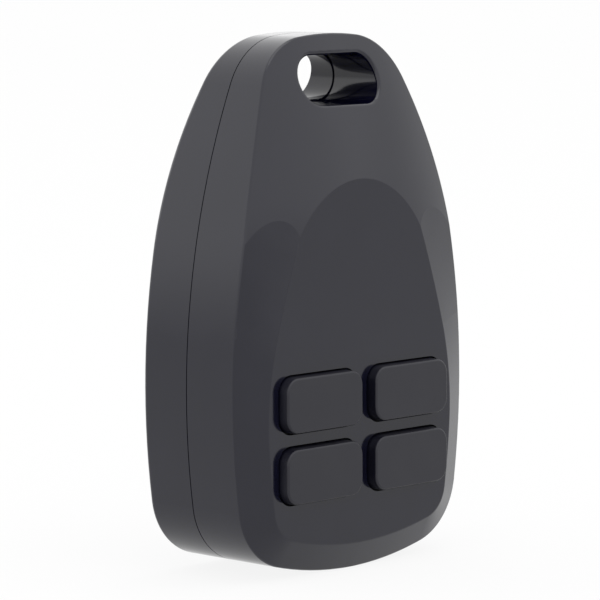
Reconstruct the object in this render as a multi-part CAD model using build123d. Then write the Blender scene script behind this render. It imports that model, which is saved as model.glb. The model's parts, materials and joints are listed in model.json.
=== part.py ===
from build123d import *
from math import asin, atan2, cos, degrees, hypot, radians, sin, sqrt, tan
import os

# Kinetic wireless switch: a battery-free radio transmitter with four buttons, in a two-part case.
# X runs to the right, Z up, and Y from the front of the case to its back, in millimetres.
# The two halves of the case meet on one plane, and depths here are measured from it: Y = 0 is that
# plane until the pieces are written, with the frame's origin under the middle of the whole depth.

# Case outline, seen from the front: five arcs on each side, each tangent to the next
CASE_WIDTH = 44.4
CASE_HEIGHT = 72.0
WIDEST_Z = 24.6
BOTTOM_RADIUS = 56.0
CORNER_RADIUS = 9.45
SIDE_RADIUS = 103.0
SHOULDER_RADIUS = 10.1
TOP_RADIUS = 47.4

# Case depths, measured from the parting plane
CREASE_DEPTH = 8.85
FIELD_DEPTH = 10.95
REAR_DEPTH = 8.3
WALL = 1.6
FRONT_EDGE_RADIUS = 0.3
SLOT_MOUTH_RADIUS = 0.5
REAR_EDGE_RADIUS = 0.8
PARTING_GROOVE = 0.15
TONGUE_LENGTH = 1.2
TONGUE_INSET = 0.85
TONGUE_GAP = 0.05

# Key field: a flat arch that stands proud of the front crease, with a sloping band round it
BAND_WIDTH = 4.3
BAND_FOOT = 3.75
FIELD_CORNER_RADIUS = 4.6
ARCH_TURN_RADIUS = 41.2
ARCH_LEAN_RADIUS = 150.0
ARCH_LEAN = 17.9
ARCH_LEAN_X = 14.47
ARCH_LEAN_Z = 38.0
ARCH_CROWN_RADIUS = 9.0
BAND_TOP_Z = 54.0

# Upper front face: a shallow doubly curved face that runs from the key field back to the top edge
BROW_RADIUS_Z = 97.7
BROW_RADIUS_X = 64.0
BROW_CENTRE_Y = 84.99
BROW_CENTRE_Z = 34.3
BROW_START_Z = 38.0
BROW_REACH = 30.0
BROW_THICKNESS = 22.0

# Upper rear face: a cylinder tangent to the flat back
BACK_RADIUS = 89.8
BACK_START_Z = 43.3

# Keyring slot
SLOT_WIDTH = 15.0
SLOT_HEIGHT = 6.6
SLOT_DROP = 6.15
SLOT_WALL = 1.4
SLOT_STEP = 0.2

# Buttons
BUTTON_WIDTH = 14.5
BUTTON_HEIGHT = 7.5
BUTTON_RADIUS = 2.1
BUTTON_PROUD = 1.5
BUTTON_DRAFT = 3.0
BUTTON_EDGE = 0.3
BUTTON_GAP = 0.25
BUTTON_TRAVEL = 1.5
COLUMN_PITCH = 16.95
ROW_PITCH = 9.45
ROWS_Z = 18.93
CAP_WALL = 1.2
FLANGE_LIP = 0.6
FLANGE_THICKNESS = 0.8
STEM_RADIUS = 1.6
LEG_WIDTH = 2.0
LEG_HEIGHT = 3.6
LEG_INSET = 0.5
LEG_OVERLAP = 0.6
SEAT_GAP = 0.05

# Circuit board, between the front and rear posts
BOARD_DEPTH = 3.6
BOARD_THICKNESS = 1.0
BOARD_ARM_GAP = 0.7
BOARD_SIDE_GAP = 0.9
BOARD_BOTTOM_Z = 5.2
BOARD_STEP_DROP = 10.8
BOARD_TOP_DROP = 3.5
BOARD_POST_INSET = 4.0
BOARD_POST_DROP = 2.5
BOARD_POST_RADIUS = 1.3
HEEL_POST_INSET = 2.5
HEEL_POST_Z = 6.8
HEEL_POST_SIZE = 2.6
PAD_THICKNESS = 0.1
PAD_RADIUS = 1.8

# Radio parts on the board
MODULE_WIDTH = 11.0
MODULE_HEIGHT = 8.6
MODULE_DEPTH = 1.8
MODULE_DROP = 5.6
MODULE_ROUND = 0.4
CAPACITOR_SIZE = 3.2
CAPACITOR_DEPTH = 1.7
CAPACITOR_X = 9.4
CAPACITOR_DROP = 8.4
CHIP_ROUND = 0.3
CRYSTAL_WIDTH = 3.2
CRYSTAL_HEIGHT = 2.5
CRYSTAL_DEPTH = 0.9
CRYSTAL_X = -8.0
CRYSTAL_DROP = 8.0
DIODE_WIDTH = 1.2
DIODE_HEIGHT = 2.2
DIODE_DEPTH = 0.9
DIODE_PITCH = 2.0
DIODE_X = 7.0
DIODE_DROP = 8.0
DIODE_COUNT = 4
ANTENNA_RADIUS = 0.35
ANTENNA_INSET = 1.1
ANTENNA_DROP = 9.0
ANTENNA_RISE = 0.8
ANTENNA_BEND = 2.2

# Silicone key mat on the front of the board
MAT_THICKNESS = 1.0
MAT_TOP_Z = 32.0
MAT_WING_LIP = 0.4
MAT_WING_MARGIN = 2.6
DOME_RADIUS = 3.6
DOME_TOP_RADIUS = 2.2
DOME_WALL = 0.7
DOME_CROWN = 0.85
PILL_RADIUS = 1.45
PILL_THICKNESS = 0.7
PILL_CLEARANCE = 0.03
FIT_GAP = 0.02

# Harvester: the frame that holds the coil, its core and the armature
HARVESTER_WIDTH = 19.5
HARVESTER_LENGTH = 29.3
HARVESTER_DEPTH = 7.0
HARVESTER_BOTTOM_Z = 12.6
FRAME_WALL = 1.0
CORE_WIDTH = 2.0
CORE_THICKNESS = 1.4
CORE_SPAN = 16.4
CORE_Y = 0.7
YOKE_Z = 35.2
CORE_TIP_Z = 19.4
COIL_LENGTH = 10.0
COIL_HEIGHT = 8.4
COIL_DEPTH = 5.0
COIL_ROUND = 1.2
BOBBIN_FLANGE = 0.8
BOBBIN_LIP = 0.15
BOBBIN_WALL = 0.5
TERMINAL_RADIUS = 0.3
TERMINAL_Z = 39.2
TERMINAL_PROUD = 0.8
LEDGE_Z = 26.0
LEDGE_HEIGHT = 4.0

# Armature
ARMATURE_PIN_RADIUS = 0.6
ARMATURE_Y = 0.4
ARMATURE_Z = 17.2
ARMATURE_WIDTH = 16.6
ARMATURE_BOTTOM_Z = 13.2
ARMATURE_SHOULDER_Z = 18.6
ARMATURE_TOP_Z = 21.6
ARMATURE_FRONT_Y = -1.6
ARMATURE_BACK_Y = 2.2
POLE_THICKNESS = 1.1
POLE_GAP = 0.04
TRAY_THICKNESS = 0.5
MAGNET_WIDTH = 6.0
LEAF_WIDTH = 5.0
LEAF_THICKNESS = 0.2
LEAF_TOP_Z = 14.4
LEAF_BOTTOM_Z = 10.2

# Press frame: the bow round the harvester that every button pushes
ARM_INNER_MARGIN = 0.2
ARM_OUTER_MARGIN = 0.8
PRESS_BOTTOM_Z = 9.5
PRESS_BAR_HEIGHT = 2.4
PRESS_FRONT = 2.4
PRESS_THICKNESS = 1.2
PIVOT_Z = 40.0
PIVOT_Y = -1.0
PIVOT_RADIUS = 0.75
PIVOT_CLEARANCE = 0.2
PIN_FIT = 0.03
HUB_RADIUS = 1.9
EAR_GAP = 0.75
EAR_RADIUS = 1.5
PUSHER_GAP = 0.1

# Return springs of the press frame
SPRING_INSET = 1.4
SPRING_RADIUS = 1.2
SPRING_WIRE = 0.17
SPRING_TURNS = 5
SPRING_GUIDE_RADIUS = 0.8
SPRING_GUIDE_LENGTH = 2.4

# Case screws, driven from the back
SCREW_RADIUS = 1.0
SCREW_LENGTH = 9.0
SCREW_HEAD_RADIUS = 1.9
SCREW_HEAD_HEIGHT = 1.3
SCREW_SEAT_Y = 4.4
SCREW_TIP_GAP = 1.0
SCREW_HOLE_GAP = 0.1
SCREW_HEAD_GAP = 0.25
SCREW_DRIVE_WIDTH = 0.5
SCREW_DRIVE_SPAN = 2.2
SCREW_DRIVE_DEPTH = 0.7
BOSS_RADIUS = 2.2
BOSS_HEAD_WALL = 0.75
BOSS_NECK = 2.5
LOWER_SCREW_INSET = 6.2
LOWER_SCREW_Z = 6.8
UPPER_SCREW_DROP = 14.5

# Ribs of the front shell that hold the key mat down
RIB_THICKNESS = 1.2
UPPER_RIB_Z = 30.2
UPPER_RIB_WIDTH = 24.0
LOWER_RIB_Z = 6.8
LOWER_RIB_WIDTH = 16.0

# How far a cut runs past what it cuts, and how far out a cutting block reaches past the case
OVERCUT = 1.0
CUT_MARGIN = 4.0

# Places worked out from the sizes above
INSIDE_FRONT = FIELD_DEPTH - WALL
INSIDE_REAR = REAR_DEPTH - WALL
BAND_SLOPE = atan2(FIELD_DEPTH - CREASE_DEPTH, BAND_WIDTH)
BOARD_FRONT_Y = -BOARD_DEPTH
BOARD_BACK_Y = BOARD_FRONT_Y + BOARD_THICKNESS
MAT_FRONT_Y = BOARD_FRONT_Y - MAT_THICKNESS
PILL_BACK_Y = BOARD_FRONT_Y - PAD_THICKNESS - BUTTON_TRAVEL - PILL_CLEARANCE
PILL_FRONT_Y = PILL_BACK_Y - PILL_THICKNESS
DOME_INNER_Y = PILL_FRONT_Y - FIT_GAP
DOME_FRONT_Y = DOME_INNER_Y - DOME_CROWN
FLANGE_FRONT_Y = -INSIDE_FRONT + SEAT_GAP
FLANGE_BACK_Y = FLANGE_FRONT_Y + FLANGE_THICKNESS
PRESS_FRONT_Y = -PRESS_FRONT
PRESS_BACK_Y = PRESS_FRONT_Y + PRESS_THICKNESS
PUSHER_BACK_Y = PRESS_FRONT_Y - FIT_GAP
LEG_TIP_Y = DOME_FRONT_Y + LEG_OVERLAP
HARVESTER_FRONT_Y = BOARD_BACK_Y
HARVESTER_BACK_Y = HARVESTER_FRONT_Y + HARVESTER_DEPTH
HARVESTER_TOP_Z = HARVESTER_BOTTOM_Z + HARVESTER_LENGTH
CORE_FRONT_Y = CORE_Y - CORE_THICKNESS / 2
POLE_BACK_Y = CORE_FRONT_Y - POLE_GAP
POLE_FRONT_Y = POLE_BACK_Y - POLE_THICKNESS
ORIGIN_SHIFT = (FIELD_DEPTH + BUTTON_PROUD - REAR_DEPTH) / 2
LEG_X = COLUMN_PITCH / 2 + BUTTON_WIDTH / 2 + FLANGE_LIP - LEG_INSET - LEG_WIDTH / 2
PRESS_INNER_X = LEG_X - LEG_WIDTH / 2 - ARM_INNER_MARGIN
PRESS_OUTER_X = LEG_X + LEG_WIDTH / 2 + ARM_OUTER_MARGIN
EAR_WIDTH = PRESS_INNER_X - EAR_GAP - HARVESTER_WIDTH / 2
SPRING_X = PRESS_INNER_X - SPRING_INSET
MAT_WING_X = PRESS_OUTER_X + MAT_WING_LIP
BOARD_WIDTH = 2 * (PRESS_INNER_X - BOARD_ARM_GAP)
HEEL_POST_X = BOARD_WIDTH / 2 - HEEL_POST_INSET
SLOT_Z = CASE_HEIGHT - SLOT_DROP
LOWER_SCREW_X = CASE_WIDTH / 2 - LOWER_SCREW_INSET
UPPER_SCREW_Z = CASE_HEIGHT - UPPER_SCREW_DROP
BOARD_TOP_Z = UPPER_SCREW_Z - BOARD_TOP_DROP
BOARD_STEP_Z = BOARD_TOP_Z - BOARD_STEP_DROP
BOTTOM_CENTRE = (0.0, BOTTOM_RADIUS)
SIDE_CENTRE = (CASE_WIDTH / 2 - SIDE_RADIUS, WIDEST_Z)
TOP_CENTRE = (0.0, CASE_HEIGHT - TOP_RADIUS)
CASE_X_AT_BOARD_TOP = SIDE_CENTRE[0] + sqrt(SIDE_RADIUS ** 2 - (BOARD_TOP_Z - WIDEST_Z) ** 2)
BOARD_TOP_X = CASE_X_AT_BOARD_TOP - WALL - BOARD_SIDE_GAP
BOARD_POST_X = BOARD_TOP_X - BOARD_POST_INSET
BOARD_POST_Z = BOARD_TOP_Z - BOARD_POST_DROP
ANTENNA_X = BOARD_TOP_X - ANTENNA_INSET
COLUMNS = {"left": -COLUMN_PITCH / 2, "right": COLUMN_PITCH / 2}
ROWS = {"upper": ROWS_Z + ROW_PITCH / 2, "lower": ROWS_Z - ROW_PITCH / 2}
SCREW_PLACES = [(-LOWER_SCREW_X, LOWER_SCREW_Z), (LOWER_SCREW_X, LOWER_SCREW_Z), (0.0, UPPER_SCREW_Z)]


def at_depth(y):
    """The plane parallel to the case's front at the depth y, with X to the right and Z up."""
    return Plane.XZ.offset(-y)


def slab(sketch, y_from, y_to):
    """A front-view sketch made solid between two depths."""
    return extrude(at_depth(max(y_from, y_to)) * sketch, amount=abs(y_to - y_from))


def box(x_span, y_span, z_span):
    """A box between two values along each axis."""
    spans = (x_span, y_span, z_span)
    middle = [(low + high) / 2 for low, high in spans]
    return Pos(*middle) * Box(*[high - low for low, high in spans])


def mirrored_boxes(x_span, y_span, z_span):
    """The same box on the right and on the left."""
    left = (-x_span[1], -x_span[0])
    return box(x_span, y_span, z_span) + box(left, y_span, z_span)


def rod_y(x, z, radius, y_from, y_to):
    """A round rod along the case's depth."""
    return slab(Pos(x, z) * Circle(radius), y_from, y_to)


def rod_x(y, z, radius, x_from, x_to):
    """A round rod across the case."""
    return Pos((x_from + x_to) / 2, y, z) * Rot(0, 90, 0) * Cylinder(radius, abs(x_to - x_from))


def cone_y(x, z, base_radius, tip_radius, base_y, tip_y):
    """A cone along the case's depth, with its tip towards the front."""
    return Pos(x, (base_y + tip_y) / 2, z) * Rot(90, 0, 0) * Cone(base_radius, tip_radius, base_y - tip_y)


def blend_centre(first, first_radius, second, second_radius, radius):
    """Centre of the arc that lies inside two larger arcs and is tangent to both, on the right."""
    a, b = first_radius - radius, second_radius - radius
    dx, dz = second[0] - first[0], second[1] - first[1]
    gap = hypot(dx, dz)
    along = (a * a - b * b + gap * gap) / (2 * gap)
    aside = sqrt(a * a - along * along)
    foot = (first[0] + along * dx / gap, first[1] + along * dz / gap)
    sides = [(foot[0] + s * aside * dz / gap, foot[1] - s * aside * dx / gap) for s in (1, -1)]
    return max(sides)


def bearing(centre, point):
    """Direction from a centre to a point, in degrees from +X."""
    return degrees(atan2(point[1] - centre[1], point[0] - centre[0]))


def height_bearing(z):
    """Direction on the side arc at which it reaches the height z."""
    return degrees(asin((z - SIDE_CENTRE[1]) / SIDE_RADIUS))


def arch_centres():
    """Centres of the three arcs of each side of the arch: it turns inwards, leans in and is crowned."""
    lean = radians(ARCH_LEAN)
    leaning = (ARCH_LEAN_X - ARCH_LEAN_RADIUS * cos(lean), ARCH_LEAN_Z - ARCH_LEAN_RADIUS * sin(lean))
    side_radius = SIDE_RADIUS - BAND_WIDTH
    turn = blend_centre(SIDE_CENTRE, side_radius, leaning, ARCH_LEAN_RADIUS, ARCH_TURN_RADIUS)
    rise = sqrt((ARCH_LEAN_RADIUS - ARCH_CROWN_RADIUS) ** 2 - leaning[0] ** 2)
    return turn, leaning, (0.0, leaning[1] + rise)


def case_spans():
    """Arcs of the case's right half from bottom to top: centre, radius and the directions it spans."""
    corner = blend_centre(BOTTOM_CENTRE, BOTTOM_RADIUS, SIDE_CENTRE, SIDE_RADIUS, CORNER_RADIUS)
    shoulder = blend_centre(TOP_CENTRE, TOP_RADIUS, SIDE_CENTRE, SIDE_RADIUS, SHOULDER_RADIUS)
    turn, leaning, crown = arch_centres()
    turn_end = turn[1] + (ARCH_TURN_RADIUS + BAND_WIDTH) * sin(radians(bearing(leaning, turn)))
    stops = [-90.0, bearing(BOTTOM_CENTRE, corner), bearing(SIDE_CENTRE, corner)]
    stops += [bearing(SIDE_CENTRE, turn), height_bearing(turn_end), height_bearing(BAND_TOP_Z)]
    stops += [bearing(SIDE_CENTRE, shoulder), bearing(TOP_CENTRE, shoulder), 90.0]
    side = (SIDE_CENTRE, SIDE_RADIUS)
    arcs = [(BOTTOM_CENTRE, BOTTOM_RADIUS), (corner, CORNER_RADIUS), side, side, side, side]
    arcs += [(shoulder, SHOULDER_RADIUS), (TOP_CENTRE, TOP_RADIUS)]
    return [(*arc, stops[i], stops[i + 1]) for i, arc in enumerate(arcs)]


def field_spans():
    """Arcs of the key field's right half, one for each arc of the case's: foot, corner, side and arch."""
    foot_radius, side_radius = BOTTOM_RADIUS - BAND_FOOT, SIDE_RADIUS - BAND_WIDTH
    corner = blend_centre(BOTTOM_CENTRE, foot_radius, SIDE_CENTRE, side_radius, FIELD_CORNER_RADIUS)
    turn, leaning, crown = arch_centres()
    crown_start = bearing(leaning, crown)
    third = (90.0 - crown_start) / 3
    stops = [-90.0, bearing(BOTTOM_CENTRE, corner), bearing(SIDE_CENTRE, corner)]
    stops += [bearing(SIDE_CENTRE, turn), bearing(leaning, turn)]
    stops += [crown_start + third * i for i in range(4)]
    arcs = [(BOTTOM_CENTRE, foot_radius), (corner, FIELD_CORNER_RADIUS), (SIDE_CENTRE, side_radius)]
    arcs += [(turn, ARCH_TURN_RADIUS), (leaning, ARCH_LEAN_RADIUS)]
    arcs += [(crown, ARCH_CROWN_RADIUS)] * 3
    return [(*arc, stops[i], stops[i + 1]) for i, arc in enumerate(arcs)]


def arc_edge(centre, radius, start, end):
    """An arc through its start, middle and end directions."""
    turns = [radians(turn) for turn in (start, (start + end) / 2, end)]
    return ThreePointArc(*[(centre[0] + radius * cos(a), centre[1] + radius * sin(a)) for a in turns])


def closed_face(spans, inset=0.0):
    """The whole outline from the arcs of its right half, moved inwards by an inset."""
    right = [(centre, radius - inset, start, end) for centre, radius, start, end in spans]
    left = [((-c[0], c[1]), radius, 180 - end, 180 - start) for c, radius, start, end in reversed(right)]
    return make_face([arc_edge(*span) for span in right + left])


def outline(inset=0.0):
    """The case's outline."""
    return closed_face(case_spans(), inset)


def ring(outer_inset, inner_inset, y_from, y_to):
    """A rim that follows the case's outline."""
    return slab(outline(outer_inset), y_from, y_to) - slab(outline(inner_inset), y_from, y_to)


def brow(inset):
    """What lies in front of the upper front face."""
    half = CASE_WIDTH / 2 + CUT_MARGIN
    radius_x = BROW_RADIUS_X - inset
    edge_y = BROW_CENTRE_Y - BROW_RADIUS_Z + BROW_RADIUS_X - sqrt(radius_x ** 2 - half ** 2)
    front_y = BROW_CENTRE_Y - BROW_RADIUS_Z + inset
    inner_y = BROW_CENTRE_Y - BROW_RADIUS_Z + BROW_THICKNESS
    rim = [ThreePointArc((-half, edge_y), (0, front_y), (half, edge_y))]
    rim += [Line((half, edge_y), (half, inner_y)), Line((half, inner_y), (-half, inner_y))]
    rim += [Line((-half, inner_y), (-half, edge_y))]
    section = Pos(0, 0, BROW_CENTRE_Z) * make_face(rim)
    axis = Axis((0, BROW_CENTRE_Y, BROW_CENTRE_Z), (-1, 0, 0))
    wedge = revolve(section, axis=axis, revolution_arc=BROW_REACH)
    return box((-half, half), (-2 * FIELD_DEPTH, 0), (BROW_START_Z, CASE_HEIGHT + OVERCUT)) - wedge


def front_block(inset=0.0):
    """The solid front half of the case, with every face moved inwards by an inset."""
    crease_y = -(CREASE_DEPTH - inset * (1 - sin(BAND_SLOPE)) / cos(BAND_SLOPE))
    field_y = -(FIELD_DEPTH - inset)
    field = closed_face(field_spans(), inset * tan(BAND_SLOPE / 2))
    band = loft([at_depth(crease_y) * outline(inset), at_depth(field_y) * field], ruled=True)
    return slab(outline(inset), 0, crease_y) + band - brow(inset)


def rear_block(inset=0.0):
    """The solid rear half of the case, with every face moved inwards by an inset."""
    half = CASE_WIDTH / 2 + CUT_MARGIN
    above = box((-half, half), (-OVERCUT, REAR_DEPTH + OVERCUT), (BACK_START_Z, CASE_HEIGHT + OVERCUT))
    drum = rod_x(REAR_DEPTH - BACK_RADIUS, BACK_START_Z, BACK_RADIUS - inset, -half - OVERCUT, half + OVERCUT)
    return slab(outline(inset), 0, REAR_DEPTH - inset) - (above - drum)


def slot_face(margin=0.0):
    """The keyring slot's section, made larger all round by a margin."""
    return Pos(0, SLOT_Z) * SlotOverall(SLOT_WIDTH + 2 * margin, SLOT_HEIGHT + 2 * margin)


def button_face(margin=0.0):
    """A button's section at the key field, made larger all round by a margin."""
    return RectangleRounded(BUTTON_WIDTH + 2 * margin, BUTTON_HEIGHT + 2 * margin, BUTTON_RADIUS + margin)


def button_places():
    """Name, column and row of each button."""
    return [(f"{row}_{side}", x, z) for row, z in ROWS.items() for side, x in COLUMNS.items()]


def front_boss(x, z):
    """A round post from the parting plane to the inside of the front wall."""
    return rod_y(x, z, BOSS_RADIUS, 0, -2 * FIELD_DEPTH) & front_block(WALL / 2)


def front_posts():
    """What stands inside the front shell: board posts and the ribs that hold the key mat down."""
    posts = rod_y(BOARD_POST_X, BOARD_POST_Z, BOARD_POST_RADIUS, BOARD_FRONT_Y, -2 * FIELD_DEPTH)
    posts += rod_y(-BOARD_POST_X, BOARD_POST_Z, BOARD_POST_RADIUS, BOARD_FRONT_Y, -2 * FIELD_DEPTH)
    for z, width in ((UPPER_RIB_Z, UPPER_RIB_WIDTH), (LOWER_RIB_Z, LOWER_RIB_WIDTH)):
        z_span = (z - RIB_THICKNESS / 2, z + RIB_THICKNESS / 2)
        posts += box((-width / 2, width / 2), (-2 * FIELD_DEPTH, MAT_FRONT_Y), z_span)
    return posts & front_block(WALL / 2)


def front_rim(block):
    """The edges of a block's front faces, without those on the parting plane."""
    return [edge for edge in block.edges().filter_by(Axis.Y, reverse=True) if edge.center().Y < -WALL]


def slot_mouth(block):
    """The edges of a block that lie round the keyring slot."""
    reach = SLOT_WIDTH / 2 + SLOT_WALL
    near = [edge for edge in front_rim(block) if abs(edge.center().Z - SLOT_Z) < SLOT_HEIGHT / 2 + FIT_GAP]
    return [edge for edge in near if abs(edge.center().X) < reach]


def front_shell():
    """Front half of the case, with its key openings, slot and tongue."""
    opening = slab(slot_face(), TONGUE_LENGTH + OVERCUT, -2 * FIELD_DEPTH)
    block = front_block()
    block = fillet(front_rim(block), FRONT_EDGE_RADIUS) - opening
    shell = fillet(slot_mouth(block), SLOT_MOUTH_RADIUS) - front_block(WALL)
    shell -= ring(-OVERCUT, TONGUE_INSET - TONGUE_GAP, -PARTING_GROOVE, OVERCUT)
    shell += ring(TONGUE_INSET, WALL, -2 * PARTING_GROOVE, TONGUE_LENGTH)
    tube = slab(slot_face(SLOT_WALL), 0, -2 * FIELD_DEPTH) & front_block(WALL / 2)
    tube += slab(slot_face(SLOT_WALL), 0, TONGUE_LENGTH) & slab(outline(TONGUE_INSET), 0, TONGUE_LENGTH)
    shell += tube - opening
    shell += front_posts()
    for x, z in SCREW_PLACES:
        shell += front_boss(x, z)
    for x, z in SCREW_PLACES:
        depth = SCREW_LENGTH - SCREW_SEAT_Y + SCREW_TIP_GAP
        shell -= rod_y(x, z, SCREW_RADIUS + SCREW_HOLE_GAP / 2, OVERCUT, -depth)
    for name, x, z in button_places():
        shell -= slab(Pos(x, z) * button_face(BUTTON_GAP), -2 * FIELD_DEPTH, -INSIDE_FRONT + OVERCUT)
    return shell


def rear_boss(x, z):
    """A screw post in the rear shell, wider where it houses the screw's head."""
    head_radius = SCREW_HEAD_RADIUS + SCREW_HEAD_GAP + BOSS_HEAD_WALL
    post = rod_y(x, z, BOSS_RADIUS, 0, BOSS_NECK) + rod_y(x, z, head_radius, BOSS_NECK, REAR_DEPTH)
    return post & rear_block(WALL / 2)


def rear_posts():
    """What stands inside the rear shell: board posts, harvester pads and spring guides."""
    floor = INSIDE_REAR + WALL / 2
    posts = rod_y(BOARD_POST_X, BOARD_POST_Z, BOARD_POST_RADIUS, BOARD_BACK_Y, floor)
    posts += rod_y(-BOARD_POST_X, BOARD_POST_Z, BOARD_POST_RADIUS, BOARD_BACK_Y, floor)
    half = HEEL_POST_SIZE / 2
    heel = ((HEEL_POST_X - half, HEEL_POST_X + half), (BOARD_BACK_Y, floor))
    posts += mirrored_boxes(*heel, (HEEL_POST_Z - half, HEEL_POST_Z + half))
    pad_x = (HARVESTER_WIDTH / 2 - HEEL_POST_SIZE, HARVESTER_WIDTH / 2)
    for z in (HARVESTER_BOTTOM_Z, HARVESTER_TOP_Z - HEEL_POST_SIZE):
        posts += mirrored_boxes(pad_x, (HARVESTER_BACK_Y, floor), (z, z + HEEL_POST_SIZE))
    for x in (-SPRING_X, SPRING_X):
        posts += rod_y(x, spring_z(), SPRING_GUIDE_RADIUS, INSIDE_REAR - SPRING_GUIDE_LENGTH, floor)
    return posts


def rear_rim(block):
    """The edges round the rear face, without the line where its flat part starts to curve."""
    rear = [face for face in block.faces() if face.normal_at().Y > abs(face.normal_at().Z)]
    rear = [face for face in rear if face.normal_at().Y > abs(face.normal_at().X)]
    edges = [edge for face in rear for edge in face.edges()]
    return [edge for edge in edges if edges.count(edge) == 1]


def rear_shell():
    """Rear half of the case, with its rebate for the tongue, its slot and its posts."""
    block = rear_block()
    shell = fillet(rear_rim(block), REAR_EDGE_RADIUS) - rear_block(WALL)
    shell += slab(slot_face(SLOT_WALL), TONGUE_LENGTH + TONGUE_GAP, 2 * REAR_DEPTH) & rear_block(WALL / 2)
    shell += rear_posts()
    for x, z in SCREW_PLACES:
        shell += rear_boss(x, z)
    for x, z in SCREW_PLACES:
        shell -= rod_y(x, z, SCREW_RADIUS + SCREW_HOLE_GAP, -OVERCUT, REAR_DEPTH)
        shell -= rod_y(x, z, SCREW_HEAD_RADIUS + SCREW_HEAD_GAP, SCREW_SEAT_Y, REAR_DEPTH + OVERCUT)
    shell -= ring(TONGUE_INSET - TONGUE_GAP, WALL + TONGUE_GAP, -OVERCUT, TONGUE_LENGTH + TONGUE_GAP)
    return shell - slab(slot_face(-SLOT_STEP), -OVERCUT, 2 * REAR_DEPTH)


def screw(x, z):
    """A pan-head screw driven from the back, with a cross recess."""
    head_y = SCREW_SEAT_Y + SCREW_HEAD_HEIGHT
    body = rod_y(x, z, SCREW_RADIUS, SCREW_SEAT_Y - SCREW_LENGTH, SCREW_SEAT_Y)
    body += rod_y(x, z, SCREW_HEAD_RADIUS, SCREW_SEAT_Y, head_y)
    cross = Rectangle(SCREW_DRIVE_SPAN, SCREW_DRIVE_WIDTH) + Rectangle(SCREW_DRIVE_WIDTH, SCREW_DRIVE_SPAN)
    return body - slab(Pos(x, z) * cross, head_y - SCREW_DRIVE_DEPTH, head_y + OVERCUT)


def case_screws():
    """The three case screws."""
    return [screw(x, z) for x, z in SCREW_PLACES]


def button(x, z):
    """A hollow key cap with a flange behind the case wall, a stem for its dome and a leg for its pusher."""
    face = Pos(x, z) * button_face()
    cap = extrude(at_depth(-FIELD_DEPTH) * face, amount=BUTTON_PROUD, taper=BUTTON_DRAFT)
    cap = fillet(cap.edges().group_by(Axis.Y)[0], BUTTON_EDGE)
    cap += slab(face, -FIELD_DEPTH, FLANGE_FRONT_Y)
    flange = slab(Pos(x, z) * button_face(FLANGE_LIP), FLANGE_FRONT_Y, FLANGE_BACK_Y)
    cap += flange & front_block(WALL + SEAT_GAP)
    roof_y = -(FIELD_DEPTH + BUTTON_PROUD - CAP_WALL)
    cap -= slab(Pos(x, z) * button_face(-CAP_WALL), roof_y, FLANGE_BACK_Y)
    cap += rod_y(x, z, STEM_RADIUS, roof_y, DOME_FRONT_Y - FIT_GAP)
    leg_x = LEG_X if x > 0 else -LEG_X
    cap += slab(Pos(leg_x, z) * Rectangle(LEG_WIDTH, LEG_HEIGHT), FLANGE_FRONT_Y, LEG_TIP_Y)
    return cap


def contact_pill(x, z):
    """The conductive disc under a dome."""
    return rod_y(x, z, PILL_RADIUS, PILL_FRONT_Y, PILL_BACK_Y)


def key_mat():
    """One silicone moulding: a sheet with four domes, and a pusher pad for each button's leg."""
    half = BOARD_WIDTH / 2
    wing_reach = LEG_HEIGHT / 2 + MAT_WING_MARGIN
    wing_z = (ROWS["lower"] - wing_reach, ROWS["upper"] + wing_reach)
    y_span = (MAT_FRONT_Y, BOARD_FRONT_Y)
    mat = box((-half, half), y_span, (BOARD_BOTTOM_Z, MAT_TOP_Z))
    mat += box((-MAT_WING_X, MAT_WING_X), y_span, wing_z)
    for name, x, z in button_places():
        mat += cone_y(x, z, DOME_RADIUS, DOME_TOP_RADIUS, MAT_FRONT_Y, DOME_FRONT_Y)
        leg_x = LEG_X if x > 0 else -LEG_X
        pusher = Rectangle(LEG_WIDTH + 2 * PUSHER_GAP, LEG_HEIGHT + 2 * PUSHER_GAP)
        mat += slab(Pos(leg_x, z) * pusher, LEG_TIP_Y + FIT_GAP, PUSHER_BACK_Y)
    for name, x, z in button_places():
        inner = DOME_RADIUS - DOME_WALL
        mat -= cone_y(x, z, inner, DOME_TOP_RADIUS - DOME_WALL / 2, MAT_FRONT_Y, DOME_INNER_Y)
        mat -= rod_y(x, z, inner, MAT_FRONT_Y, BOARD_FRONT_Y)
    return mat


def circuit_board():
    """The board, wider above the press frame, with holes for the coil's terminals."""
    board = Pos(0, (BOARD_BOTTOM_Z + BOARD_TOP_Z) / 2) * Rectangle(BOARD_WIDTH, BOARD_TOP_Z - BOARD_BOTTOM_Z)
    board += Pos(0, (BOARD_STEP_Z + BOARD_TOP_Z) / 2) * Rectangle(2 * BOARD_TOP_X, BOARD_TOP_Z - BOARD_STEP_Z)
    for x in (-terminal_x(), terminal_x()):
        board -= Pos(x, TERMINAL_Z) * Circle(TERMINAL_RADIUS + SCREW_HOLE_GAP)
    return slab(board, BOARD_FRONT_Y, BOARD_BACK_Y)


def contact_pads():
    """The gold pad under each pill."""
    y_span = (BOARD_FRONT_Y - PAD_THICKNESS, BOARD_FRONT_Y)
    return [rod_y(x, z, PAD_RADIUS, *y_span) for name, x, z in button_places()]


def radio_module():
    """The shielded radio, on the back of the board."""
    face = Pos(0, BOARD_TOP_Z - MODULE_DROP) * RectangleRounded(MODULE_WIDTH, MODULE_HEIGHT, MODULE_ROUND)
    return slab(face, BOARD_BACK_Y, BOARD_BACK_Y + MODULE_DEPTH)


def storage_capacitors():
    """Two capacitors beside the radio."""
    face = Pos(0, BOARD_TOP_Z - CAPACITOR_DROP) * RectangleRounded(CAPACITOR_SIZE, CAPACITOR_SIZE, CHIP_ROUND)
    block = slab(face, BOARD_BACK_Y, BOARD_BACK_Y + CAPACITOR_DEPTH)
    return [Pos(x, 0, 0) * block for x in (-CAPACITOR_X, CAPACITOR_X)]


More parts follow.
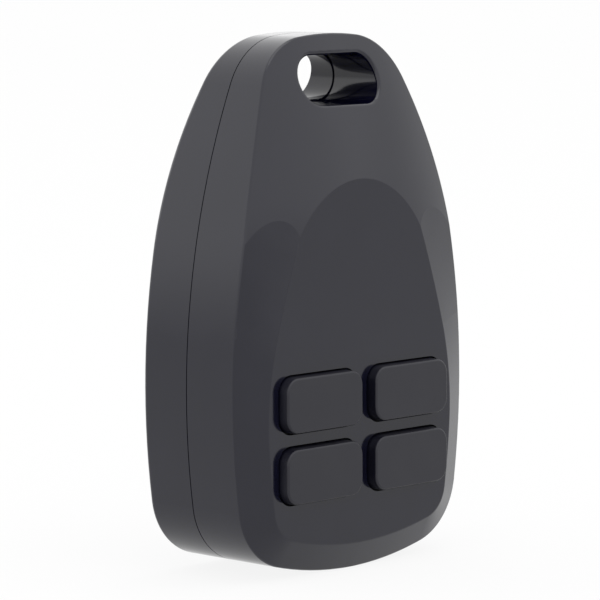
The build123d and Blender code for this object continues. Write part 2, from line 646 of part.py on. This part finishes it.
def crystal():
    """The timing crystal, on the front of the board."""
    face = RectangleRounded(CRYSTAL_WIDTH, CRYSTAL_HEIGHT, CHIP_ROUND)
    face = Pos(CRYSTAL_X, BOARD_TOP_Z - CRYSTAL_DROP) * face
    return slab(face, BOARD_FRONT_Y - CRYSTAL_DEPTH, BOARD_FRONT_Y)


def rectifier_diodes():
    """The row of diodes that rectifies the coil's pulse."""
    face = Pos(0, BOARD_TOP_Z - DIODE_DROP) * Rectangle(DIODE_WIDTH, DIODE_HEIGHT)
    body = slab(face, BOARD_FRONT_Y - DIODE_DEPTH, BOARD_FRONT_Y)
    places = [DIODE_X + (i - (DIODE_COUNT - 1) / 2) * DIODE_PITCH for i in range(DIODE_COUNT)]
    return [Pos(x, 0, 0) * body for x in places]


def antenna_wire():
    """A wire loop that leaves the board's back and runs round its top."""
    top = BOARD_TOP_Z + ANTENNA_RISE
    foot = BOARD_TOP_Z - ANTENNA_DROP
    points = [(-ANTENNA_X, foot), (-ANTENNA_X, top), (ANTENNA_X, top), (ANTENNA_X, foot)]
    path = at_depth(BOARD_BACK_Y + ANTENNA_RADIUS) * FilletPolyline(*points, radius=ANTENNA_BEND)
    section = Plane(origin=path @ 0, z_dir=path % 0) * Circle(ANTENNA_RADIUS)
    return sweep(section, path=path)


def harvester_frame():
    """The tray that carries the coil, the core, the armature's pin and the press frame's pins."""
    half = HARVESTER_WIDTH / 2
    inner = half - FRAME_WALL
    floor_y = HARVESTER_BACK_Y - FRAME_WALL
    depth = (HARVESTER_FRONT_Y, HARVESTER_BACK_Y)
    length = (HARVESTER_BOTTOM_Z, HARVESTER_TOP_Z)
    frame = box((-half, half), depth, length)
    cavity = (HARVESTER_BOTTOM_Z - OVERCUT, HARVESTER_TOP_Z - FRAME_WALL)
    frame -= box((-inner, inner), (HARVESTER_FRONT_Y - OVERCUT, floor_y), cavity)
    ledge_z = (LEDGE_Z - LEDGE_HEIGHT / 2, LEDGE_Z + LEDGE_HEIGHT / 2)
    ledge_y = (CORE_Y + CORE_THICKNESS / 2 + FIT_GAP, floor_y)
    frame += mirrored_boxes((CORE_SPAN / 2 - CORE_WIDTH, inner), ledge_y, ledge_z)
    for side in (-1, 1):
        frame += rod_x(PIVOT_Y, PIVOT_Z, EAR_RADIUS, side * inner, side * (half + EAR_WIDTH))
    for side in (-1, 1):
        span = (side * (inner - OVERCUT), side * (half + EAR_WIDTH + OVERCUT))
        frame -= rod_x(PIVOT_Y, PIVOT_Z, PIVOT_RADIUS + PIN_FIT, *span)
    reach = half + OVERCUT
    return frame - rod_x(ARMATURE_Y, ARMATURE_Z, ARMATURE_PIN_RADIUS + PIN_FIT, -reach, reach)


def iron_core():
    """The U-shaped core: a yoke through the coil and two legs down to the armature."""
    half = CORE_SPAN / 2
    y_span = (CORE_FRONT_Y, CORE_FRONT_Y + CORE_THICKNESS)
    yoke_z = (YOKE_Z - CORE_WIDTH / 2, YOKE_Z + CORE_WIDTH / 2)
    legs = mirrored_boxes((half - CORE_WIDTH, half), y_span, (CORE_TIP_Z, yoke_z[1]))
    return box((-half, half), y_span, yoke_z) + legs


def coil_section(depth, height, radius):
    """A rounded section across the coil's axis, centred on the yoke."""
    plane = Plane(origin=(0, CORE_Y, YOKE_Z), x_dir=(0, 1, 0), z_dir=(1, 0, 0))
    return plane * RectangleRounded(depth, height, radius)


def along_coil(section, x_from, x_to):
    """A section across the coil's axis made solid between two places along it."""
    return Pos(x_from, 0, 0) * extrude(section, amount=x_to - x_from)


def bobbin_tube(margin=0.0):
    """The bobbin's tube, made larger all round by a margin."""
    wall = 2 * (BOBBIN_WALL + FIT_GAP + margin)
    half = COIL_LENGTH / 2
    return along_coil(coil_section(CORE_THICKNESS + wall, CORE_WIDTH + wall, BOBBIN_WALL), -half, half)


def coil_bobbin():
    """The bobbin round the yoke, with a flange at each end."""
    half = COIL_LENGTH / 2
    flange = coil_section(COIL_DEPTH + 2 * BOBBIN_LIP, COIL_HEIGHT + 2 * BOBBIN_LIP, COIL_ROUND)
    bobbin = bobbin_tube()
    bobbin += along_coil(flange, half, half + BOBBIN_FLANGE)
    bobbin += along_coil(flange, -half - BOBBIN_FLANGE, -half)
    bore = coil_section(CORE_THICKNESS + 2 * FIT_GAP, CORE_WIDTH + 2 * FIT_GAP, FIT_GAP)
    bobbin -= along_coil(bore, -half - BOBBIN_FLANGE - OVERCUT, half + BOBBIN_FLANGE + OVERCUT)
    for x in (-terminal_x(), terminal_x()):
        bobbin -= rod_y(x, TERMINAL_Z, TERMINAL_RADIUS + FIT_GAP, terminal_foot_y(), HARVESTER_FRONT_Y)
    return bobbin


def coil_winding():
    """The wound wire between the bobbin's flanges."""
    half = COIL_LENGTH / 2 - FIT_GAP
    return along_coil(coil_section(COIL_DEPTH, COIL_HEIGHT, COIL_ROUND), -half, half) - bobbin_tube(FIT_GAP)


def terminal_x():
    """Where a terminal stands in its bobbin flange."""
    return COIL_LENGTH / 2 + BOBBIN_FLANGE / 2


def terminal_foot_y():
    """How deep a terminal reaches into its bobbin flange."""
    return CORE_Y - COIL_DEPTH / 4


def terminal_pins():
    """The two pins that join the coil to the board."""
    tip_y = BOARD_FRONT_Y - TERMINAL_PROUD
    places = (-terminal_x(), terminal_x())
    return [rod_y(x, TERMINAL_Z, TERMINAL_RADIUS, tip_y, terminal_foot_y()) for x in places]


def armature_carrier():
    """The rocking carrier: a body on the pin, with a tray in front for the magnet and its pole plates."""
    half = ARMATURE_WIDTH / 2
    tray_y = (POLE_FRONT_Y - FIT_GAP - TRAY_THICKNESS, POLE_FRONT_Y - FIT_GAP)
    body_y = (ARMATURE_FRONT_Y, ARMATURE_BACK_Y)
    carrier = box((-half, half), body_y, (ARMATURE_BOTTOM_Z, ARMATURE_SHOULDER_Z))
    carrier += box((-half, half), tray_y, (ARMATURE_BOTTOM_Z, ARMATURE_TOP_Z))
    reach = half + OVERCUT
    carrier -= rod_x(ARMATURE_Y, ARMATURE_Z, ARMATURE_PIN_RADIUS + PIVOT_CLEARANCE, -reach, reach)
    slot_x = LEAF_WIDTH / 2 + SEAT_GAP
    slot_y = (PRESS_BACK_Y - SEAT_GAP, PRESS_BACK_Y + LEAF_THICKNESS + SEAT_GAP)
    return carrier - box((-slot_x, slot_x), slot_y, (ARMATURE_BOTTOM_Z - OVERCUT, LEAF_TOP_Z + SEAT_GAP))


def magnet_box(x_from, x_to):
    """A stretch of the bar that bridges the core's two tips."""
    return box((x_from, x_to), (POLE_FRONT_Y, POLE_BACK_Y), (ARMATURE_SHOULDER_Z + FIT_GAP, ARMATURE_TOP_Z))


def magnet():
    """The magnet in the middle of the bar."""
    return magnet_box(-MAGNET_WIDTH / 2, MAGNET_WIDTH / 2)


def pole_plates():
    """The steel plates that carry the magnet's poles to the core's tips."""
    inner, outer = MAGNET_WIDTH / 2 + FIT_GAP, CORE_SPAN / 2
    return [magnet_box(inner, outer), magnet_box(-outer, -inner)]


def armature_pin():
    """The pin that the armature rocks on."""
    half = HARVESTER_WIDTH / 2
    return rod_x(ARMATURE_Y, ARMATURE_Z, ARMATURE_PIN_RADIUS, -half, half)


def leaf_spring():
    """The strip that links the press frame's bar to the armature."""
    half = LEAF_WIDTH / 2
    return box((-half, half), (PRESS_BACK_Y, PRESS_BACK_Y + LEAF_THICKNESS), (LEAF_BOTTOM_Z, LEAF_TOP_Z))


def press_frame():
    """Two arms with a bar across their lower ends, turning on hubs at the top."""
    y_span = (PRESS_FRONT_Y, PRESS_BACK_Y)
    bow = mirrored_boxes((PRESS_INNER_X, PRESS_OUTER_X), y_span, (PRESS_BOTTOM_Z, PIVOT_Z))
    bar_z = (PRESS_BOTTOM_Z, PRESS_BOTTOM_Z + PRESS_BAR_HEIGHT)
    bow += box((-PRESS_OUTER_X, PRESS_OUTER_X), y_span, bar_z)
    for side in (-1, 1):
        bow += rod_x(PIVOT_Y, PIVOT_Z, HUB_RADIUS, side * PRESS_INNER_X, side * PRESS_OUTER_X)
    reach = PRESS_OUTER_X + OVERCUT
    return bow - rod_x(PIVOT_Y, PIVOT_Z, PIVOT_RADIUS + PIVOT_CLEARANCE, -reach, reach)


def press_frame_pins():
    """A pin on each side, from the harvester frame's ear out through the hub."""
    inner = HARVESTER_WIDTH / 2 - FRAME_WALL
    spans = [(inner, PRESS_OUTER_X), (-PRESS_OUTER_X, -inner)]
    return [rod_x(PIVOT_Y, PIVOT_Z, PIVOT_RADIUS, *span) for span in spans]


def spring_z():
    """Height of the return springs, on the middle of the press frame's bar."""
    return PRESS_BOTTOM_Z + PRESS_BAR_HEIGHT / 2


def return_springs():
    """Two coil springs between the rear wall and the press frame's bar."""
    length = INSIDE_REAR - PRESS_BACK_Y - 2 * SPRING_WIRE - 2 * FIT_GAP
    path = Helix(length / SPRING_TURNS, length, SPRING_RADIUS)
    coil = sweep(Plane(origin=path @ 0, z_dir=path % 0) * Circle(SPRING_WIRE), path=path, is_frenet=True)
    coil = Rot(-90, 0, 0) * coil
    start_y = PRESS_BACK_Y + SPRING_WIRE + FIT_GAP
    return [Pos(x, start_y, spring_z()) * coil for x in (-SPRING_X, SPRING_X)]


PIECES = {
    "front_shell": front_shell,
    "rear_shell": rear_shell,
    "case_screws": case_screws,
    "key_mat": key_mat,
    "circuit_board": circuit_board,
    "contact_pads": contact_pads,
    "radio_module": radio_module,
    "storage_capacitors": storage_capacitors,
    "crystal": crystal,
    "rectifier_diodes": rectifier_diodes,
    "antenna_wire": antenna_wire,
    "harvester_frame": harvester_frame,
    "iron_core": iron_core,
    "coil_bobbin": coil_bobbin,
    "coil_winding": coil_winding,
    "terminal_pins": terminal_pins,
    "armature_carrier": armature_carrier,
    "magnet": magnet,
    "pole_plates": pole_plates,
    "armature_pin": armature_pin,
    "leaf_spring": leaf_spring,
    "press_frame": press_frame,
    "press_frame_pins": press_frame_pins,
    "return_springs": return_springs,
}


def write(name, shape):
    """One STEP file for one piece, or for one group of like pieces, each moved by itself."""
    group = shape if isinstance(shape, list) else [shape]
    moved = [Pos(0, ORIGIN_SHIFT, 0) * piece for piece in group]
    export_step(moved[0] if len(moved) == 1 else Compound(children=moved), f"parts/{name}.step")


os.makedirs("parts", exist_ok=True)
for name, make in PIECES.items():
    write(name, make())
for place, x, z in button_places():
    write(f"button_{place}", button(x, z))
    write(f"contact_pill_{place}", contact_pill(x, z))
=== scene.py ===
# %% Load the fixed frame
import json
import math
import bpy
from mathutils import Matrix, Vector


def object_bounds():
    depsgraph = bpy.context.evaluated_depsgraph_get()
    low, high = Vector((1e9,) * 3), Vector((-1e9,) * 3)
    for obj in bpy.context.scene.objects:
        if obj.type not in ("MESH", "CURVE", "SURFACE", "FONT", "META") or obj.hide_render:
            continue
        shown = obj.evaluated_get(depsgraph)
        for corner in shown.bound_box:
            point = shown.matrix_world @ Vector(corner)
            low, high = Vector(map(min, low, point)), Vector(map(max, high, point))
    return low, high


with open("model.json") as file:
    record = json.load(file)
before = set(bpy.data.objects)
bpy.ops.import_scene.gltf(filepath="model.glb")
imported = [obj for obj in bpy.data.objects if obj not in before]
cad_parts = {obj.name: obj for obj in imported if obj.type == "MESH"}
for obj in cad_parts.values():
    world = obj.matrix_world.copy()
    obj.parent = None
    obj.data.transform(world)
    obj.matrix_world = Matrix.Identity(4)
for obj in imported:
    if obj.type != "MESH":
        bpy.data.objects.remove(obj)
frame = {"nodes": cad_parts, "record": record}

# %% [markdown]
# A kinetic wireless switch is a battery-free radio transmitter on a key ring. A press on one of its four
# keys turns a small bow inside, which snaps a magnet past an iron core, and that one pulse of current is
# enough to send a message. The construction comes ready from the frame: the case, the keys and all that is
# inside keep their shapes. This script gives them their surfaces, and adds a floor, light and a camera.

MM = 0.001
cad_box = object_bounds()
low, high = cad_box
print("the model is", [round((b - a) / MM, 2) for a, b in zip(low, high)], "mm")

# %% [markdown]
# ## A small language for materials
#
# A material in Blender is a tree of nodes. Wiring one by hand in Python takes many lines and hides the
# sum that it works out. So one small class wraps a node's output and takes Python's operators: writing
# `0.3 + 0.1 * grain` adds the two Math nodes. The reflected forms let a plain number stand first.

# %% Shader maths as Python expressions
class Value:
    """A number or colour that a material works out."""

    def __init__(self, finish, socket):
        self.finish = finish
        self.socket = socket

    def maths(self, operation, first, second):
        """A Math node on two values."""
        return self.finish.node("ShaderNodeMath", {"operation": operation}, {0: first, 1: second})

    def __add__(self, other):
        return self.maths("ADD", self, other)

    def __radd__(self, other):
        return self.maths("ADD", other, self)

    def __sub__(self, other):
        return self.maths("SUBTRACT", self, other)

    def __rsub__(self, other):
        return self.maths("SUBTRACT", other, self)

    def __mul__(self, other):
        return self.maths("MULTIPLY", self, other)

    def __rmul__(self, other):
        return self.maths("MULTIPLY", other, self)


# %% [markdown]
# ## A finish
#
# Every finish on this switch starts from the same shader, with its plain numbers set on the shader's own
# sockets. What varies over the surface is linked in afterwards, so the shader shows at a glance what is
# constant. Any node that isn't a sum comes from one method that takes its type, its settings and its
# inputs. All patterns read Object coordinates, in metres, so a grain of a tenth of a millimetre is really
# that size on every piece.

# %% A finish and its nodes
class Finish:
    """A material named for a surface of the switch."""

    def __init__(self, name, colour, roughness, metallic=0.0):
        self.material = bpy.data.materials.new(name)
        self.material.use_nodes = True
        self.tree = self.material.node_tree
        self.tree.nodes.clear()
        self.surface = self.tree.nodes.new("ShaderNodeBsdfPrincipled")
        self.output = self.tree.nodes.new("ShaderNodeOutputMaterial")
        self.tree.links.new(self.surface.outputs[0], self.output.inputs[0])
        self.surface.inputs["Base Color"].default_value = (*colour, 1.0)
        self.surface.inputs["Roughness"].default_value = roughness
        self.surface.inputs["Metallic"].default_value = metallic
        self.place = self.node("ShaderNodeTexCoord", {}, {}, out="Object")

    def node(self, kind, settings, inputs, out=0):
        """Any node: its type, its settings, its inputs and the output that is wanted."""
        made = self.tree.nodes.new(kind)
        for setting, choice in settings.items():
            setattr(made, setting, choice)
        for socket, value in inputs.items():
            if isinstance(value, Value):
                self.tree.links.new(value.socket, made.inputs[socket])
            else:
                made.inputs[socket].default_value = value
        return Value(self, made.outputs[out])

    def noise(self, size, detail=2.0):
        """Soft random values from 0 to 1, with features about as large as the size, in metres."""
        inputs = {"Vector": self.place, "Scale": 1 / size, "Detail": detail}
        return self.node("ShaderNodeTexNoise", {}, inputs)

    def between(self, value, start, end):
        """How far a value has come from a start to an end, from 0 to 1, eased at both ends."""
        inputs = {"Value": value, "From Min": start, "From Max": end}
        return self.node("ShaderNodeMapRange", {"interpolation_type": "SMOOTHSTEP"}, inputs)

    def blend(self, factor, first, second):
        """One colour that turns into another."""
        inputs = {0: factor, 6: (*first, 1.0), 7: (*second, 1.0)}
        return self.node("ShaderNodeMix", {"data_type": "RGBA"}, inputs, out=2)

    def drive(self, socket, value):
        """Links a value that changes over the surface."""
        self.tree.links.new(value.socket, self.surface.inputs[socket])

    def relief(self, height, depth):
        """Raises the surface by a height from 0 to 1 times a depth, in metres."""
        self.drive("Normal", self.node("ShaderNodeBump", {}, {"Height": height, "Distance": depth}))


# %% [markdown]
# ## The case
#
# The case is black plastic from a polished mould. Nearly all the light that comes off it is a reflection
# of the room, so its colour matters less than how sharp that reflection is. A flat colour with one even
# roughness would be quicker, but it looks like a drawing. The real skin is never quite even: it has a very
# low wave from the way the plastic cooled, and hands leave it a little duller in patches.

# %% Gloss black case
CASE_BLACK = (0.0025, 0.0025, 0.011)
CASE_CLEAN, CASE_HANDLED = (0.0016, 0.0017, 0.0105), (0.003, 0.0031, 0.0125)
CASE_WAVE, CASE_PATCH, CASE_GRAIN = 6.0 * MM, 9.0 * MM, 0.12 * MM
CASE_RELIEF = 0.012 * MM
GRAIN_SHARE = 0.04


def case_finish():
    """Polished black plastic with a faint wave and slightly duller patches."""
    finish = Finish("case_gloss_black", CASE_BLACK, 0.12)
    wave = finish.noise(CASE_WAVE, detail=1.0)
    haze = finish.between(finish.noise(CASE_PATCH, detail=4.0), 0.35, 0.75)
    grain = finish.noise(CASE_GRAIN)
    finish.drive("Roughness", 0.1 + 0.05 * haze + 0.02 * grain)
    finish.drive("Base Color", finish.blend(haze, CASE_CLEAN, CASE_HANDLED))
    finish.relief(wave + GRAIN_SHARE * grain, CASE_RELIEF)
    return finish.material


FINISHES = {"case": case_finish()}
print("made", FINISHES["case"].name)

# %% [markdown]
# ## The keys
#
# The key caps come from a spark-eroded mould. Its fine pits make the surface matt, so a finger finds the
# key and a print doesn't show. High roughness alone gives a matt look from afar. Here the pits are also a
# real relief, about a tenth of a millimetre across, so the keys hold up close.

# %% Fine matt keys
KEY_BLACK = (0.0025, 0.0025, 0.0095)
KEY_PIT, KEY_TOUCH = 0.11 * MM, 5.0 * MM
KEY_RELIEF = 0.006 * MM


def key_finish():
    """Matt black plastic with a fine, even, pitted grain, and a little smoother where it is touched."""
    finish = Finish("key_fine_matt", KEY_BLACK, 0.42)
    grain = finish.noise(KEY_PIT, detail=3.0)
    touch = finish.between(finish.noise(KEY_TOUCH), 0.4, 0.7)
    finish.drive("Roughness", 0.44 - 0.05 * touch + 0.05 * grain)
    finish.relief(grain, KEY_RELIEF)
    return finish.material


FINISHES["button"] = key_finish()
print("made", FINISHES["button"].name)

# %% [markdown]
# ## The inside
#
# Nothing inside the closed case can be seen, but each piece there still gets the finish that it has on a
# real switch, for whoever takes the model apart. The record names a class and a colour for each slot, and
# one function turns those into a material. A hand-made finish for every slot would show nothing more.

# %% Inner finishes
METAL_CLASSES = ("brushed_steel", "chrome", "brass", "painted_metal")
CLASS_ROUGHNESS = {"chrome": 0.15, "brushed_steel": 0.35, "brass": 0.3, "rubber": 0.7}
OTHER_ROUGHNESS = 0.5
INNER_GRAIN = 0.4 * MM


def inner_finish(entry):
    """A finish for an inner slot, from the class and colour that the record gives it."""
    roughness = CLASS_ROUGHNESS.get(entry["class"], OTHER_ROUGHNESS)
    metallic = 1.0 if entry["class"] in METAL_CLASSES else 0.0
    finish = Finish("inner_" + entry["slot"], entry["base_color"][:3], roughness, metallic)
    finish.drive("Roughness", roughness - 0.05 + 0.1 * finish.noise(INNER_GRAIN))
    return finish.material


for entry in frame["record"]["materials"]:
    if entry["slot"] not in FINISHES:
        FINISHES[entry["slot"]] = inner_finish(entry)
slots = {part["node"]: part["material_slot"] for part in frame["record"]["subparts"]}
for name, node in frame["nodes"].items():
    node.data.materials.clear()
    node.data.materials.append(FINISHES[slots[name]])
print("finished", len(slots), "nodes with", len(FINISHES), "finishes")

# %% [markdown]
# ## The white room
#
# The switch stands in a white room, because a black gloss surface shows nothing but its surroundings. What
# the camera, a mirror or a window sees of that room is white, while the light that falls on the switch
# stays at a plain level. The Light Path node tells the two apart: it answers with a 1 for the kind of ray
# that is being traced, and one sum of its answers serves the floor and the walls alike.

# %% What is seen rather than lit
SEEN_RAYS = ("Is Camera Ray", "Is Glossy Ray", "Is Transmission Ray")


def seen_directly(finish):
    """1 for a ray from the camera, a reflection or a clear material, and 0 for the light's other paths."""
    rays = [finish.node("ShaderNodeLightPath", {}, {}, out=name) for name in SEEN_RAYS]
    return rays[0] + rays[1] + rays[2]


# %% [markdown]
# ## Floor
#
# The floor is white paper. If it were left to the light alone, it would come out grey beside the white
# wall, and if it only glowed, the switch would float. So two shaders are mixed by the kind of ray: where it
# is seen directly, it mostly glows. The small share that stays lit paper keeps the switch's soft shadow.

# %% White floor
FLOOR_SIZE = 12.0
FLOOR_WHITE = 0.88
WHITE = (1.0, 1.0, 1.0, 1.0)
bpy.ops.object.select_all(action="DESELECT")
bpy.ops.mesh.primitive_plane_add(size=FLOOR_SIZE, location=(0, 0, low.z))
floor = bpy.context.object
floor.name = "floor"
paper = Finish("white_paper", (0.95, 0.95, 0.95), 0.9)
glow = paper.node("ShaderNodeEmission", {}, {"Color": WHITE, "Strength": 1.0}, out="Emission")
lit = Value(paper, paper.surface.outputs[0])
mixed = paper.node("ShaderNodeMixShader", {}, {0: FLOOR_WHITE * seen_directly(paper), 1: lit, 2: glow})
paper.tree.links.new(mixed.socket, paper.output.inputs[0])
floor.data.materials.append(paper.material)
print("the floor is", FLOOR_SIZE, "m wide")

# %% [markdown]
# ## Walls
#
# The walls are brighter above the horizon than at it. The switch's upper face leans back and looks at that
# brighter part, while the flat key field looks at the horizon, and that is what parts the two faces. Far to
# the right the walls are plainer again, so the side of the upper face that turns there isn't too pale.

# %% White walls
ROOM_LIGHT = 0.6
WALL_RISE, RISE_FROM, RISE_TO = 0.55, -0.05, 0.2
RIGHT_FALL, FALL_FROM, FALL_TO = 0.8, 0.68, 0.92
world = bpy.data.worlds.new("white_room")
world.use_nodes = True
bpy.context.scene.world = world
sky = world.node_tree.nodes["Background"]
sky.inputs["Color"].default_value = WHITE


class Surround(Finish):
    """The world's own node tree, with the same node method."""

    def __init__(self, tree):
        self.tree = tree


surround = Surround(world.node_tree)
direction = surround.node("ShaderNodeTexCoord", {}, {}, out="Generated")
height = surround.node("ShaderNodeSeparateXYZ", {}, {0: direction}, out="Z")
aside = surround.node("ShaderNodeSeparateXYZ", {}, {0: direction}, out="X")
lift = WALL_RISE * surround.between(height, RISE_FROM, RISE_TO)
wall = 1.0 + lift * (1.0 - RIGHT_FALL * surround.between(aside, FALL_FROM, FALL_TO))
strength = (ROOM_LIGHT + (1.0 - ROOM_LIGHT) * seen_directly(surround)) * wall
world.node_tree.links.new(strength.socket, sky.inputs["Strength"])
print("the walls have", len(world.node_tree.nodes), "nodes")

# %% [markdown]
# ## Lamp
#
# One large, soft lamp hangs high above the switch. The white room alone would light it from all sides and
# leave no shadow. The lamp adds a light one on the floor, and because it is wide, the shadow's edge is soft.

# %% Lamp
LAMP_PLACE = (0.1, -0.3, 1.2)
LAMP_AIM = (0, 0, 0.036)
LAMP_WIDTH = 0.8
LAMP_WATTS = 2.2
softbox = bpy.data.lights.new("lamp_above", "AREA")
softbox.shape = "SQUARE"
softbox.size = LAMP_WIDTH
softbox.energy = LAMP_WATTS
lamp = bpy.data.objects.new("lamp_above", softbox)
bpy.context.scene.collection.objects.link(lamp)
lamp.location = LAMP_PLACE
lamp.rotation_euler = (Vector(LAMP_PLACE) - Vector(LAMP_AIM)).to_track_quat("Z", "Y").to_euler()
print("the lamp gives", LAMP_WATTS, "W from", LAMP_PLACE[2], "m up")

# %% [markdown]
# ## Camera
#
# The picture was taken from the front left, a little above the middle of the switch, with a long lens. The
# angles and the distance say where the camera stands around its target. The lens follows from its focal
# length in pixels over the picture's width in pixels, which holds for any sensor.

# %% Camera
TARGET = Vector((0.0, 2.075, 35.59)) * MM
AZIMUTH, ELEVATION, ROLL = -46.0, 6.28, -0.17
DISTANCE = 488.4 * MM
FOCAL_PIXELS, PICTURE_PIXELS = 3593.0, 600.0
SHIFT_X, SHIFT_Y = -0.0045, 0.0009
NEAR, FAR = 0.01, 50.0
turn, rise = math.radians(AZIMUTH), math.radians(ELEVATION)
back = Vector((math.sin(turn) * math.cos(rise), -math.cos(turn) * math.cos(rise), math.sin(rise)))
data = bpy.data.cameras.new("camera")
camera = bpy.data.objects.new("camera", data)
bpy.context.scene.collection.objects.link(camera)
camera.location = TARGET + DISTANCE * back
camera.rotation_euler = (-back).to_track_quat("-Z", "Y").to_euler()
camera.rotation_euler.rotate_axis("Z", math.radians(ROLL))
data.lens = FOCAL_PIXELS / PICTURE_PIXELS * data.sensor_width
data.shift_x, data.shift_y = SHIFT_X, SHIFT_Y
data.clip_start, data.clip_end = NEAR, FAR
bpy.context.scene.camera = camera
bpy.context.scene.view_settings.view_transform = "Standard"
print("the lens is", round(data.lens, 1), "mm long")
